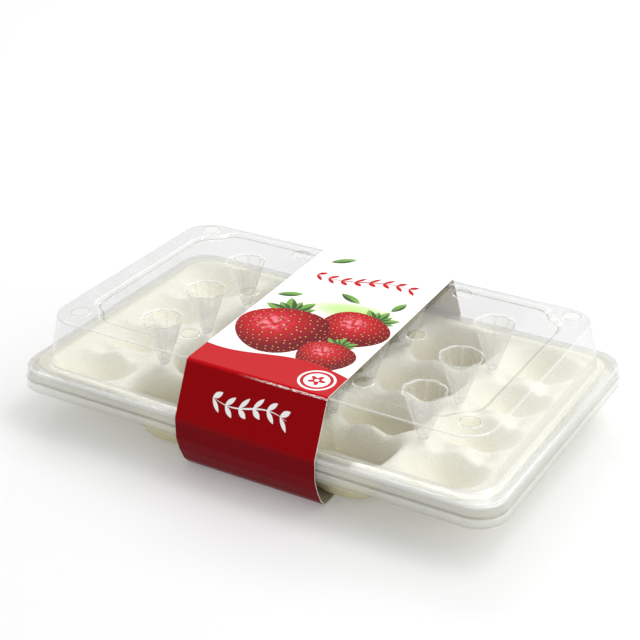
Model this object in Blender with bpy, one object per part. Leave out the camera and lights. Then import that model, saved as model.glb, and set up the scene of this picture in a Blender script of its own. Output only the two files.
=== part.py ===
"""Clear clamshell pack for large berries: lid, base frame, moulded well tray and card sleeve.

Units in the constants are millimetres. Z is measured up from the table, X runs along the long
side, and -Y is the front. Every solid is built in place.
"""
import math

import bmesh
import bpy

MM = 0.001

# Overall plan, measured at the lid's flange
LENGTH = 300.0
DEPTH = 185.5
CORNER_RADIUS = 17.0
CORNER_STEPS = 5
CLEARANCE = 0.3

# Heights above the table
SKIRT_FOOT = 21.6
SEAM = 26.5
FLANGE_TOP = 34.2
LID_TOP = 63.3

# Clear sheet of the lid and the base
SHEET = 0.8
SKIRT_FLARE = 0.9
FLANGE_WIDTH = 9.3
WALL_DRAFT = 4.2
EDGE_ROUND = 0.9

# Recessed panel in the lid's top, kept clear of the corner vents
PANEL_HALF_X = 124.0
PANEL_FRONT = -67.5
PANEL_BACK = 74.0
PANEL_DROP = 1.6
PANEL_STEP = 2.5
NOTCH_RADIUS = 17.2
NOTCH_OFFSET = 2.2

# Hollow fluted cones that hang from the lid
CONE_COLUMNS = 4
CONE_ROWS = 3
CONE_PITCH_X = 55.57
CONE_PITCH_Y = 43.8
CONE_CENTER = (3.95, -1.1)
CONE_MOUTH = 11.8
CONE_NECK = 3.2
CONE_TIP = 2.0
CONE_FLUTES = 8
FLUTE_DEPTH = 0.07
TIP_HEIGHT = 31.9
TIP_ROUND = 1.8

# Round vents in the lid
VENT_RADIUS = 5.0
VENT_SIDES = 12
PANEL_VENTS_X = 55.0
PANEL_VENTS_Y = (-52.6, 8.6, 68.4)
CORNER_VENTS_X = 122.4
CORNER_VENTS_Y = (-64.2, 69.8)

# Base frame: a skirt, a step under the lid's skirt, and a ledge with a turned-down edge
LEDGE_TOP = 31.2
LEDGE_WIDTH = 8.4
LEDGE_DROP = 6.0

# Tray with wells, which lies a little to the left and back in its frame
TRAY_SHEET = 1.1
TRAY_EDGES = (-147.3, 142.9, -85.6, 88.0)
TRAY_CORNER = 16.0
BORDER_TOP = 32.65
WEB_TOP = 31.3
WEB_EDGES = (-139.3, 135.6, -80.8, 82.1)
WEB_CORNER = 13.0
BORDER_RISE = 1.4
COLUMNS = 5
ROWS = 4
PITCH_X = 55.6
PITCH_Y = 41.8
WELL_CENTER = (-3.4, 1.2)
WELL_HALF_X = 24.4
WELL_HALF_Y = 17.9
WELL_SQUARENESS = 2.5
DEEP_WELL = 29.3
SHALLOW_WELL = 18.6
CHANNEL_DEPTH = 5.5
CHANNEL_OFFSET = 12.0
CHANNEL_WIDTH = 5.5
CHANNEL_LENGTH = 6.5

# Card sleeve round the middle, a little askew
CARD = 0.45
SLEEVE_CENTER_X = 2.7
SLEEVE_WIDTH = 87.2
SLEEVE_SKEW = -0.038
SLEEVE_TOP = LID_TOP + CLEARANCE + CARD
SLEEVE_SECTION = [
    (81.2, 0.0),
    (84.2, 0.9),
    (88.0, 5.2),
    (92.0, 13.2),
    (94.7, 21.6),
    (94.7, 34.4),
    (80.7, 63.1),
    (79.2, SLEEVE_TOP),
]


def clear_scene():
    for old in list(bpy.data.objects):
        bpy.data.objects.remove(old, do_unlink=True)


def plain_material(name, color, roughness, alpha=1.0):
    material = bpy.data.materials.new(name)
    material.use_nodes = True
    shader = material.node_tree.nodes["Principled BSDF"]
    shader.inputs["Base Color"].default_value = (*color, 1.0)
    shader.inputs["Roughness"].default_value = roughness
    shader.inputs["Metallic"].default_value = 0.0
    shader.inputs["Alpha"].default_value = alpha
    return material


def mesh_object(name, bm, material, closed=True):
    """Finish a bmesh drawn in millimetres as one object in metres."""
    bmesh.ops.scale(bm, vec=(MM, MM, MM), verts=bm.verts)
    if closed:
        bmesh.ops.recalc_face_normals(bm, faces=bm.faces)
    mesh = bpy.data.meshes.new(name)
    bm.to_mesh(mesh)
    bm.free()
    mesh.materials.append(material)
    obj = bpy.data.objects.new(name, mesh)
    bpy.context.collection.objects.link(obj)
    return obj


def as_cutter(obj):
    obj.hide_render = True
    obj.display_type = "WIRE"
    return obj


def add_ring(bm, points, height):
    return [bm.verts.new((x, y, height)) for x, y in points]


def bridge(bm, lower, upper):
    """Quads between two rings with the same number of vertices."""
    count = len(lower)
    for index in range(count):
        after = (index + 1) % count
        bm.faces.new((lower[index], lower[after], upper[after], upper[index]))


def arc(center, radius, start, end, steps):
    """Points along an arc; angles in degrees, both ends included."""
    points = []
    for step in range(steps + 1):
        angle = math.radians(start + (end - start) * step / steps)
        points.append((center[0] + radius * math.cos(angle), center[1] + radius * math.sin(angle)))
    return points


# ---- plan outlines ----

def rounded_plan(inset):
    """The pack's rounded rectangle, moved in by an inset."""
    half_x = LENGTH / 2 - inset - CORNER_RADIUS
    half_y = DEPTH / 2 - inset - CORNER_RADIUS
    points = []
    for corner, (side_x, side_y) in enumerate([(1, 1), (-1, 1), (-1, -1), (1, -1)]):
        center = (side_x * half_x, side_y * half_y)
        points += arc(center, CORNER_RADIUS, 90 * corner, 90 * corner + 90, CORNER_STEPS)
    return points


def panel_plan(inset):
    """The panel's outline, with each corner cut back by a hollow arc round its vent."""
    half_x = PANEL_HALF_X - inset
    radius = NOTCH_RADIUS + inset
    notch_x = PANEL_HALF_X + NOTCH_OFFSET
    back = PANEL_BACK - inset
    front = PANEL_FRONT + inset
    notch_back = PANEL_BACK + NOTCH_OFFSET
    notch_front = PANEL_FRONT - NOTCH_OFFSET
    lean = math.degrees(math.asin((NOTCH_OFFSET + inset) / radius))
    corners = [
        ((notch_x, notch_back), 270 - lean, 180 + lean),
        ((-notch_x, notch_back), 360 - lean, 270 + lean),
        ((-notch_x, notch_front), 90 - lean, lean),
        ((notch_x, notch_front), 180 - lean, 90 + lean),
    ]
    points = []
    for center, start, end in corners:
        for x, y in arc(center, radius, start, end, CORNER_STEPS):
            x = min(max(x, -half_x), half_x)
            y = min(max(y, front), back)
            points.append((x, y))
    return points


# ---- clear lid ----

def lid_shell():
    """One sheet: skirt, flange, sloping walls, raised border and recessed panel."""
    foot = FLANGE_WIDTH + 0.6
    crown = FLANGE_WIDTH + WALL_DRAFT
    skirt_out = -SKIRT_FLARE * (FLANGE_TOP - SEAM) / (FLANGE_TOP - SKIRT_FOOT)
    panel_top = LID_TOP - PANEL_DROP
    outside = [
        (rounded_plan(skirt_out), SEAM + CLEARANCE),
        (rounded_plan(0.0), FLANGE_TOP - EDGE_ROUND),
        (rounded_plan(EDGE_ROUND), FLANGE_TOP),
        (rounded_plan(FLANGE_WIDTH), FLANGE_TOP),
        (rounded_plan(foot), FLANGE_TOP + EDGE_ROUND),
        (rounded_plan(crown), LID_TOP - EDGE_ROUND),
        (rounded_plan(crown + EDGE_ROUND), LID_TOP),
        (panel_plan(0.0), LID_TOP),
        (panel_plan(PANEL_STEP), panel_top),
    ]
    inside = [
        (panel_plan(PANEL_STEP - 0.2), panel_top - SHEET),
        (panel_plan(-0.2), LID_TOP - SHEET),
        (rounded_plan(crown + EDGE_ROUND + 0.4), LID_TOP - SHEET),
        (rounded_plan(crown + SHEET), LID_TOP - EDGE_ROUND - 0.4),
        (rounded_plan(foot + SHEET), FLANGE_TOP + EDGE_ROUND - 0.3),
        (rounded_plan(FLANGE_WIDTH + 0.5), FLANGE_TOP - SHEET),
        (rounded_plan(EDGE_ROUND + 0.5), FLANGE_TOP - SHEET),
        (rounded_plan(SHEET), FLANGE_TOP - EDGE_ROUND - 0.6),
        (rounded_plan(skirt_out + SHEET), SEAM + CLEARANCE),
    ]
    bm = bmesh.new()
    rings = [add_ring(bm, plan, height) for plan, height in outside + inside]
    caps = len(outside) - 1
    for index, ring in enumerate(rings):
        if index == caps:
            bm.faces.new(ring)
            bm.faces.new(rings[index + 1])
            continue
        bridge(bm, ring, rings[(index + 1) % len(rings)])
    return bm


def flute_plan(center, radius, depth):
    """A round outline with a shallow crease between the lobes."""
    points = []
    sides = 2 * CONE_FLUTES
    for side in range(sides):
        angle = math.tau * side / sides
        reach = radius * (1.0 - depth * (side % 2))
        points.append((center[0] + reach * math.cos(angle), center[1] + reach * math.sin(angle)))
    return points


def cone_solid(bm, center, wall, top, grow):
    """A tapering plug; wall shrinks it to the hollow inside the cone."""
    rings = [
        add_ring(bm, flute_plan(center, CONE_MOUTH - wall + grow, FLUTE_DEPTH), top),
        add_ring(bm, flute_plan(center, CONE_NECK - wall, FLUTE_DEPTH / 2), TIP_HEIGHT + TIP_ROUND + wall),
        add_ring(bm, flute_plan(center, CONE_TIP - wall, 0.0), TIP_HEIGHT + wall),
    ]
    for upper, lower in zip(rings, rings[1:]):
        bridge(bm, lower, upper)
    bm.faces.new(rings[0])
    bm.faces.new(list(reversed(rings[-1])))


def cone_centers():
    centers = []
    for column in range(CONE_COLUMNS):
        for row in range(CONE_ROWS):
            x = CONE_CENTER[0] + (column - (CONE_COLUMNS - 1) / 2) * CONE_PITCH_X
            y = CONE_CENTER[1] + (row - (CONE_ROWS - 1) / 2) * CONE_PITCH_Y
            centers.append((x, y))
    return centers


def vent_centers():
    centers = [(side * PANEL_VENTS_X, y) for side in (-1, 1) for y in PANEL_VENTS_Y]
    centers += [(side * CORNER_VENTS_X, y) for side in (-1, 1) for y in CORNER_VENTS_Y]
    return centers


def make_lid(material):
    lid = mesh_object("lid", lid_shell(), material)
    panel_top = LID_TOP - PANEL_DROP

    cones = bmesh.new()
    hollows = bmesh.new()
    for center in cone_centers():
        cone_solid(cones, center, 0.0, panel_top - SHEET / 2, 0.0)
        cone_solid(hollows, center, SHEET * 0.75, panel_top + 1.0, 0.4)
    for x, y in vent_centers():
        ring = arc((x, y), VENT_RADIUS, 0, 360 - 360 / VENT_SIDES, VENT_SIDES - 1)
        lower = add_ring(hollows, ring, panel_top - 3.0)
        upper = add_ring(hollows, ring, LID_TOP + 2.0)
        bridge(hollows, lower, upper)
        hollows.faces.new(upper)
        hollows.faces.new(list(reversed(lower)))

    for label, bm, operation in (("cones", cones, "UNION"), ("hollows", hollows, "DIFFERENCE")):
        cutter = as_cutter(mesh_object("cut_" + label, bm, material))
        boolean = lid.modifiers.new(label, "BOOLEAN")
        boolean.operation = operation
        boolean.solver = "EXACT"
        boolean.object = cutter
    return lid


# ---- clear base frame ----

def make_base(material):
    """A flared foot, a step that slips under the lid's skirt, a ledge, and its turned-down edge."""
    slip = SHEET + CLEARANCE + 0.35
    outside = [
        (-SKIRT_FLARE, SKIRT_FOOT),
        (-SKIRT_FLARE * 0.65, SEAM - 0.4),
        (slip - 0.2, SEAM + 0.2),
        (slip, LEDGE_TOP - EDGE_ROUND),
        (slip + EDGE_ROUND, LEDGE_TOP),
        (LEDGE_WIDTH, LEDGE_TOP),
        (LEDGE_WIDTH, LEDGE_TOP - LEDGE_DROP),
    ]
    inside = [
        (LEDGE_WIDTH - SHEET, LEDGE_TOP - LEDGE_DROP),
        (LEDGE_WIDTH - SHEET, LEDGE_TOP - SHEET),
        (slip + EDGE_ROUND + 0.4, LEDGE_TOP - SHEET),
        (slip + SHEET, LEDGE_TOP - EDGE_ROUND - 0.4),
        (slip + SHEET - 0.2, SEAM - 0.6),
        (SHEET - SKIRT_FLARE * 0.65, SEAM - 1.2),
        (SHEET - SKIRT_FLARE, SKIRT_FOOT),
    ]
    bm = bmesh.new()
    rings = [add_ring(bm, rounded_plan(inset), height) for inset, height in outside + inside]
    for index, ring in enumerate(rings):
        bridge(bm, ring, rings[(index + 1) % len(rings)])
    return mesh_object("base", bm, material)


# ---- tray with wells ----

def well_depth(column):
    """The end columns are shallower than the middle ones."""
    return SHALLOW_WELL if column in (0, COLUMNS - 1) else DEEP_WELL


def well_profile(column):
    """Rings from the web down: share of the rim's size, and share of the depth."""
    if column in (0, COLUMNS - 1):
        return [(1.0, 0.04), (0.78, 0.62), (0.42, 0.93)]
    return [(1.0, 0.04), (0.88, 0.84), (0.5, 0.98)]


def channel_dip(x, y):
    """Depth of the low saddles that join each well to the one behind it."""
    dip = 0.0
    for column in range(COLUMNS):
        for side in (-1, 1):
            center_x = WELL_CENTER[0] + (column - (COLUMNS - 1) / 2) * PITCH_X + side * CHANNEL_OFFSET
            for row in range(1, ROWS):
                center_y = WELL_CENTER[1] + (row - ROWS / 2) * PITCH_Y
                spread = ((x - center_x) / CHANNEL_WIDTH) ** 2 + ((y - center_y) / CHANNEL_LENGTH) ** 2
                dip = max(dip, CHANNEL_DEPTH * math.exp(-spread))
    return dip


def square_ring(half):
    """Grid steps round a square ring, counter-clockwise from its lower left corner."""
    if half == 0:
        return [(0, 0)]
    steps = []
    steps += [(i, -half) for i in range(-half, half)]
    steps += [(half, j) for j in range(-half, half)]
    steps += [(i, half) for i in range(half, -half, -1)]
    steps += [(-half, j) for j in range(half, -half, -1)]
    return steps


def on_well(i, j, half, share):
    """A grid step moved onto the well's rounded outline, as an offset from its centre."""
    angle = math.atan2(j * WELL_HALF_Y, i * WELL_HALF_X)
    cos_part = abs(math.cos(angle) / WELL_HALF_X) ** WELL_SQUARENESS
    sin_part = abs(math.sin(angle) / WELL_HALF_Y) ** WELL_SQUARENESS
    reach = share * (cos_part + sin_part) ** (-1 / WELL_SQUARENESS)
    return reach * math.cos(angle), reach * math.sin(angle)


def pull_inside(x, y, edges, radius):
    """A point pulled into the rounded rectangle with these left, right, front and back edges."""
    left, right, front, back = edges
    x = min(max(x, left), right)
    y = min(max(y, front), back)
    center_x = min(max(x, left + radius), right - radius)
    center_y = min(max(y, front + radius), back - radius)
    reach = math.hypot(x - center_x, y - center_y)
    if reach > radius:
        x = center_x + (x - center_x) * radius / reach
        y = center_y + (y - center_y) * radius / reach
    return x, y


def tray_heights():
    """Every grid vertex of the tray's upper face: key (grid x, grid y), value (x, y, z)."""
    rings = 4
    places = {}
    for column in range(COLUMNS):
        center_x = WELL_CENTER[0] + (column - (COLUMNS - 1) / 2) * PITCH_X
        for row in range(ROWS):
            center_y = WELL_CENTER[1] + (row - (ROWS - 1) / 2) * PITCH_Y
            grid_x = (2 * column + 1) * rings
            grid_y = (2 * row + 1) * rings
            for i, j in square_ring(rings):
                x = center_x + i / rings * PITCH_X / 2
                y = center_y + j / rings * PITCH_Y / 2
                x, y = pull_inside(x, y, WEB_EDGES, WEB_CORNER)
                places[(grid_x + i, grid_y + j)] = (x, y, WEB_TOP - channel_dip(x, y))
            for index, (share, depth_share) in enumerate(well_profile(column)):
                half = rings - 1 - index
                for i, j in square_ring(half):
                    dx, dy = on_well(i, j, half, share)
                    x = center_x + dx
                    y = center_y + dy
                    depth = max(depth_share * well_depth(column), channel_dip(x, y))
                    places[(grid_x + i, grid_y + j)] = (x, y, WEB_TOP - depth)
            places[(grid_x, grid_y)] = (center_x, center_y, WEB_TOP - well_depth(column))
    return places


def make_tray(material):
    """A grid that follows the wells' rims, with a raised flat border, given its thickness below."""
    places = tray_heights()
    last_x = max(key[0] for key in places)
    last_y = max(key[1] for key in places)

    def border_place(gx, gy):
        """A vertex of the flat border: first beside the web's edge, then at the tray's own edge."""
        near_x = min(max(gx, 0), last_x)
        near_y = min(max(gy, 0), last_y)
        x, y, _ = places[(near_x, near_y)]
        steps = max(near_x - gx, gx - near_x, near_y - gy, gy - near_y)
        if steps == 1:
            side_x = (gx > last_x) - (gx < 0)
            side_y = (gy > last_y) - (gy < 0)
            spread = BORDER_RISE / math.hypot(side_x, side_y)
            return x + side_x * spread, y + side_y * spread, BORDER_TOP
        reach = TRAY_EDGES[1] - TRAY_EDGES[0]
        x += reach * ((gx > last_x) - (gx < 0))
        y += reach * ((gy > last_y) - (gy < 0))
        return *pull_inside(x, y, TRAY_EDGES, TRAY_CORNER), BORDER_TOP

    bm = bmesh.new()
    verts = {}
    for gx in range(-2, last_x + 3):
        for gy in range(-2, last_y + 3):
            place = places.get((gx, gy)) or border_place(gx, gy)
            verts[(gx, gy)] = bm.verts.new(place)
    for gx in range(-2, last_x + 2):
        for gy in range(-2, last_y + 2):
            corners = [(gx, gy), (gx + 1, gy), (gx + 1, gy + 1), (gx, gy + 1)]
            bm.faces.new([verts[corner] for corner in corners])
    tray = mesh_object("tray", bm, material, closed=False)
    solidify = tray.modifiers.new("sheet", "SOLIDIFY")
    solidify.thickness = TRAY_SHEET * MM
    solidify.offset = -1.0
    solidify.use_even_offset = True
    return tray


# ---- card sleeve ----

def make_sleeve(material):
    """A closed band of card: flat top and bottom, sloping panels, and folds over the skirt."""
    back = SLEEVE_SECTION
    front = [(-y, z) for y, z in reversed(SLEEVE_SECTION)]
    section = back + front
    bm = bmesh.new()
    sides = []
    for side in (-0.5, 0.5):
        ring = []
        for y, z in section:
            x = SLEEVE_CENTER_X + side * SLEEVE_WIDTH + SLEEVE_SKEW * y
            ring.append(bm.verts.new((x, y, z)))
        sides.append(ring)
    bridge(bm, sides[0], sides[1])
    sleeve = mesh_object("sleeve", bm, material, closed=False)
    solidify = sleeve.modifiers.new("card", "SOLIDIFY")
    solidify.thickness = CARD * MM
    solidify.offset = -1.0
    solidify.use_even_offset = True
    return sleeve


def main():
    clear_scene()
    clear_sheet = plain_material("clear_sheet", (0.92, 0.93, 0.95), 0.08, 0.25)
    tray_foam = plain_material("tray_foam", (0.84, 0.82, 0.73), 0.75)
    sleeve_card = plain_material("sleeve_card", (0.42, 0.01, 0.015), 0.35)
    make_lid(clear_sheet)
    make_base(clear_sheet)
    make_tray(tray_foam)
    make_sleeve(sleeve_card)


main()
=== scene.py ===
import math
import bmesh
import bpy
from mathutils import Matrix, Vector


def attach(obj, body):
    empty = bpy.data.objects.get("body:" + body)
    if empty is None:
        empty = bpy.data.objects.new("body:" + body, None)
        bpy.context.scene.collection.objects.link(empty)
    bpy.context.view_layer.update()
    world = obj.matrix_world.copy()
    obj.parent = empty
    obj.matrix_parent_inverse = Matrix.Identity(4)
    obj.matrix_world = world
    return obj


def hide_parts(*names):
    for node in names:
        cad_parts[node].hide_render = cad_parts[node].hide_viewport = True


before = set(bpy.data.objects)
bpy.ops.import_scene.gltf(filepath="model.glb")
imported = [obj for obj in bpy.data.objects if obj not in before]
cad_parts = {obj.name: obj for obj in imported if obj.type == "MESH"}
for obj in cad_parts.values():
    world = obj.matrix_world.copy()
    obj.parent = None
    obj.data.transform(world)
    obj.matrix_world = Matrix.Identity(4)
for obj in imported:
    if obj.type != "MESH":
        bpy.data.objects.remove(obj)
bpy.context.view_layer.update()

mm = 0.001  # pieces are drawn in millimetres and scaled at the end
tiny = 0.01  # what lies closer than this counts as one place
bendShare = 0.44  # the most of a flat that a bend takes from each of its ends
holdShare = 0.48  # and the most that the bend and its hold take together


def clamp(value, low, high):
    return min(max(value, low), high)


def lineUp(outline, height):
    return [(x, y, height) for x, y in outline]


def arcPoints(centre, radius, start, end, steps):
    # both ends included, angles in degrees
    points = []
    for step in range(steps + 1):
        angle = math.radians(start + (end - start) * step / steps)
        points.append((centre[0] + radius * math.cos(angle), centre[1] + radius * math.sin(angle)))
    return points


def softProfile(corners, radius, steps=4, hold=0.3):
    # rounds every inner corner with a short curve, held by a point past each end;
    # with each point comes the number of its bend, or 0 on the flats
    soft = [(corners[0], 0)]
    for bend, (before, corner, after) in enumerate(zip(corners, corners[1:], corners[2:]), 1):
        ends, holds = [], []
        for other in (before, after):
            length = math.dist(corner, other)
            for reach, most, points in ((radius, bendShare, ends), (radius + hold, holdShare, holds)):
                share = min(reach / length, most)
                points.append(tuple(c + (o - c) * share for c, o in zip(corner, other)))
        soft.append((holds[0], 0))
        for step in range(steps + 1):
            t = step / steps
            point = tuple((1 - t) ** 2 * a + 2 * t * (1 - t) * c + t * t * b
                          for a, c, b in zip(ends[0], corner, ends[1]))
            soft.append((point, bend if step else 0))
        soft.append((holds[1], 0))
    soft.append((corners[-1], 0))
    return soft


def placeRing(bm, points):
    # a circle of edges, moved onto the points
    ring = bmesh.ops.create_circle(bm, segments=len(points), radius=1.0)["verts"]
    for vert, point in zip(ring, points):
        vert.co = point
    return ring


def ringEdges(ring):
    inRing = set(ring)
    return list({edge for vert in ring for edge in vert.link_edges if edge.other_vert(vert) in inRing})


def growRing(bm, ring, points, paint=0):
    # the next row of a wall: the ring is extruded, and the new one moved onto the points
    made = bmesh.ops.extrude_edge_only(bm, edges=ringEdges(ring))["geom"]
    fresh = {item for item in made if isinstance(item, bmesh.types.BMVert)}
    for item in made:
        if isinstance(item, bmesh.types.BMFace):
            item.material_index = paint
    grown = [next(edge.other_vert(vert) for edge in vert.link_edges if edge.other_vert(vert) in fresh)
             for vert in ring]
    for vert, point in zip(grown, points):
        vert.co = point
    return grown


def growWall(bm, outlines, paints=None):
    # a wall through all the outlines, returned as its first and last rings
    first = last = placeRing(bm, outlines[0])
    for index, outline in enumerate(outlines[1:], 1):
        last = growRing(bm, last, outline, paints[index] if paints else 0)
    return first, last


def fillBetween(bm, rings):
    # a flat face with holes, from its outer ring and its inner rings
    edges = [edge for ring in rings for edge in ringEdges(ring)]
    bmesh.ops.triangle_fill(bm, use_beauty=True, use_dissolve=False, edges=edges, normal=(0, 0, 1))


def faceUp(bm):
    # open sheets get even normals, with the highest face looking up
    bmesh.ops.remove_doubles(bm, verts=bm.verts, dist=tiny)
    bmesh.ops.recalc_face_normals(bm, faces=bm.faces)
    top = max(bm.faces, key=lambda face: (abs(face.normal.z) > 0.9, face.calc_center_median().z))
    if top.normal.z < 0:
        bmesh.ops.reverse_faces(bm, faces=bm.faces)


def finishPiece(name, bm, materials, node, sharpAngle=40):
    bmesh.ops.scale(bm, vec=(mm, mm, mm), verts=bm.verts)
    mesh = bpy.data.meshes.new(name)
    bm.edges.index_update()
    cutEdges = [edge.index for edge in bm.edges if edge.is_boundary]
    bm.to_mesh(mesh)
    bm.free()
    for material in materials:
        mesh.materials.append(material)
    mesh.shade_smooth()
    mesh.set_sharp_from_angle(angle=math.radians(sharpAngle))
    for index in cutEdges:
        mesh.edges[index].use_edge_sharp = True
    piece = bpy.data.objects.new(name, mesh)
    bpy.context.collection.objects.link(piece)
    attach(piece, "root")
    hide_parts(node)
    return piece


def giveThickness(piece, thickness, rimMaterial=0, innerMaterial=0):
    solidify = piece.modifiers.new("thickness", "SOLIDIFY")
    solidify.thickness = thickness * mm
    solidify.offset = -1.0
    solidify.use_even_offset = True
    solidify.material_offset = innerMaterial
    solidify.material_offset_rim = rimMaterial


def startMaterial(name):
    material = bpy.data.materials.new(name)
    material.use_nodes = True
    tree = material.node_tree
    tree.nodes.clear()
    output = tree.nodes.new("ShaderNodeOutputMaterial")
    return material, tree, output


def setInput(tree, socket, value):
    if isinstance(value, bpy.types.NodeSocket):
        tree.links.new(value, socket)
    else:
        socket.default_value = value


def addNode(tree, kind, inputs=(), **settings):
    node = tree.nodes.new(kind)
    for key, value in settings.items():
        setattr(node, key, value)
    for key, value in dict(inputs).items():
        setInput(tree, node.inputs[key], value)
    return node


def calc(tree, operation, first, second=0.0, third=0.0):
    node = addNode(tree, "ShaderNodeMath", operation=operation)
    for socket, value in zip(node.inputs, (first, second, third)):
        setInput(tree, socket, value)
    return node.outputs[0]


def mixColour(tree, share, under, over):
    # sockets 6 and 7 are the two colours, output 2 is the mixed one
    node = addNode(tree, "ShaderNodeMix", {0: share, 6: under, 7: over}, data_type="RGBA")
    return node.outputs[2]


def remap(tree, value, fromLow, fromHigh, toLow=0.0, toHigh=1.0):
    node = addNode(tree, "ShaderNodeMapRange", interpolation_type="SMOOTHSTEP")
    for key, item in enumerate((value, fromLow, fromHigh, toLow, toHigh)):
        setInput(tree, node.inputs[key], item)
    return node.outputs[0]


def noiseAt(tree, place, scale, detail=2.0, roughness=0.5):
    node = addNode(tree, "ShaderNodeTexNoise",
                   {"Vector": place, "Scale": scale, "Detail": detail, "Roughness": roughness})
    return node.outputs["Fac"]


def bumpFrom(tree, height, strength, distance, normal=None):
    node = addNode(tree, "ShaderNodeBump",
                   {"Strength": strength, "Distance": distance, "Height": height})
    if normal is not None:
        tree.links.new(normal, node.inputs["Normal"])
    return node.outputs["Normal"]


# camera, lights and floor, in metres and degrees
cameraSetup = {
    "place": (0.39078, -0.67301, 0.45903),
    "down": 27.098,
    "turn": 30.256,
    "roll": -0.192,
    "lens": 86.58,
    "sensor": 36.0,
}

print("camera")
cameraData = bpy.data.cameras.new("camera")
cameraData.sensor_width = cameraSetup["sensor"]
cameraData.lens = cameraSetup["lens"]
camera = bpy.data.objects.new("camera", cameraData)
bpy.context.collection.objects.link(camera)
camera.matrix_world = (
    Matrix.Translation(cameraSetup["place"])
    @ Matrix.Rotation(math.radians(cameraSetup["turn"]), 4, "Z")
    @ Matrix.Rotation(math.radians(90 - cameraSetup["down"]), 4, "X")
    @ Matrix.Rotation(math.radians(cameraSetup["roll"]), 4, "Z"))
bpy.context.scene.camera = camera

studio = {
    "world": (1.0, 1.0, 1.0),
    "worldStrength": 0.72,
    "floorColour": (0.64, 0.64, 0.64),
    "floorRoughness": 0.6,
    "floorGlow": 0.18,
    "floorSize": 8.0,
    "floorLevel": -0.0003,
    "sheetsDeep": 32,         # how many clear sheets a ray may pass, as they lie many deep
    # name: place, aimed at, width, height, power
    "lights": {
        "backSoftbox": ((0.65, 0.62, 1.8), (0.0, 0.0, 0.0), 1.2, 1.0, 16.5),
        "backStrip": ((-0.86, 1.33, 1.36), (0.0, 0.0, 0.0), 1.6, 0.28, 9.0),
        "rightFill": ((1.5, 0.15, 1.0), (0.0, 0.0, 0.0), 1.0, 0.8, 8.0),
    },
}


def makeStudio():
    print("studio")
    world = bpy.data.worlds.new("studio")
    bpy.context.scene.world = world
    world.use_nodes = True
    background = world.node_tree.nodes["Background"]
    background.inputs["Color"].default_value = (*studio["world"], 1.0)
    background.inputs["Strength"].default_value = studio["worldStrength"]

    for name, (place, target, width, height, power) in studio["lights"].items():
        light = bpy.data.lights.new(name, "AREA")
        light.shape = "RECTANGLE"
        light.size = width
        light.size_y = height
        light.energy = power
        lamp = bpy.data.objects.new(name, light)
        bpy.context.collection.objects.link(lamp)
        aim = Vector(place) - Vector(target)
        lamp.matrix_world = Matrix.Translation(place) @ aim.to_track_quat("Z", "Y").to_matrix().to_4x4()

    material, tree, output = startMaterial("paleFloor")
    shader = addNode(tree, "ShaderNodeBsdfPrincipled",
                     {"Base Color": (*studio["floorColour"], 1.0), "Roughness": studio["floorRoughness"],
                      "Emission Color": (1.0, 1.0, 1.0, 1.0), "Emission Strength": studio["floorGlow"]})
    tree.links.new(shader.outputs[0], output.inputs["Surface"])
    bm = bmesh.new()
    bmesh.ops.create_grid(bm, x_segments=1, y_segments=1, size=studio["floorSize"] / 2,
                          matrix=Matrix.Translation((0, 0, studio["floorLevel"])))
    mesh = bpy.data.meshes.new("floor")
    bm.to_mesh(mesh)
    bm.free()
    mesh.materials.append(material)
    floor = bpy.data.objects.new("floor", mesh)
    bpy.context.collection.objects.link(floor)


makeStudio()
bpy.context.scene.view_settings.view_transform = "Standard"
bpy.context.scene.cycles.transparent_max_bounces = studio["sheetsDeep"]


# the finishes of the clear plastic: tint, share of light scattered, roughness, ripple; bend and crease
# paint highlight lines, shade and fold paint shade lines
clearFinishes = {
    "sheet": ((0.97, 0.972, 0.976), 0.055, 0.05, 0.06),
    "edge": ((0.95, 0.95, 0.95), 0.6, 0.1, 0.0),
    # bend: a pale veil that paints highlight lines along the bends
    "bend": ((0.95, 0.95, 0.95), 0.3, 0.16, 0.0),
    "shade": ((0.85, 0.85, 0.82), 0.05, 0.16, 0.0),
    # fold: a darker tint that paints a shade line at the panel's step and on the cut edges of faces with
    # the shade finish
    "fold": ((0.79, 0.78, 0.74), 0.05, 0.16, 0.0),
    "flange": ((0.955, 0.955, 0.94), 0.14, 0.1, 0.0),
    "cone": ((1.0, 1.0, 0.995), 0.14, 0.08, 0.05),
    # crease: a paler veil that paints highlight lines down the cones' creases
    "crease": ((0.985, 0.985, 0.97), 0.2, 0.12, 0.0),
    "foot": ((0.92, 0.92, 0.885), 0.16, 0.12, 0.0),
}
clearLook = {
    "veilColour": (0.9, 0.905, 0.91),
    # how much is mirrored head-on, and how steeply that grows towards the edges
    "headOn": 0.04,
    "steepness": 5.0,
    "rippleSize": 28.0,
    "rippleHeight": 0.0006,
}
# where each finish stands on a piece; a cut edge takes the one after its face's own
clearOrder = list(clearFinishes)
bendHighlightPaint = clearOrder.index("bend")
shadePaint = clearOrder.index("shade")
shadeLinePaint = clearOrder.index("fold")
flangePaint = clearOrder.index("flange")
conePaint = clearOrder.index("cone")
creaseHighlightPaint = clearOrder.index("crease")
footPaint = clearOrder.index("foot")
flangeTop = 35.0  # the doubled skirts and flanges below this height look cloudier


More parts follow.
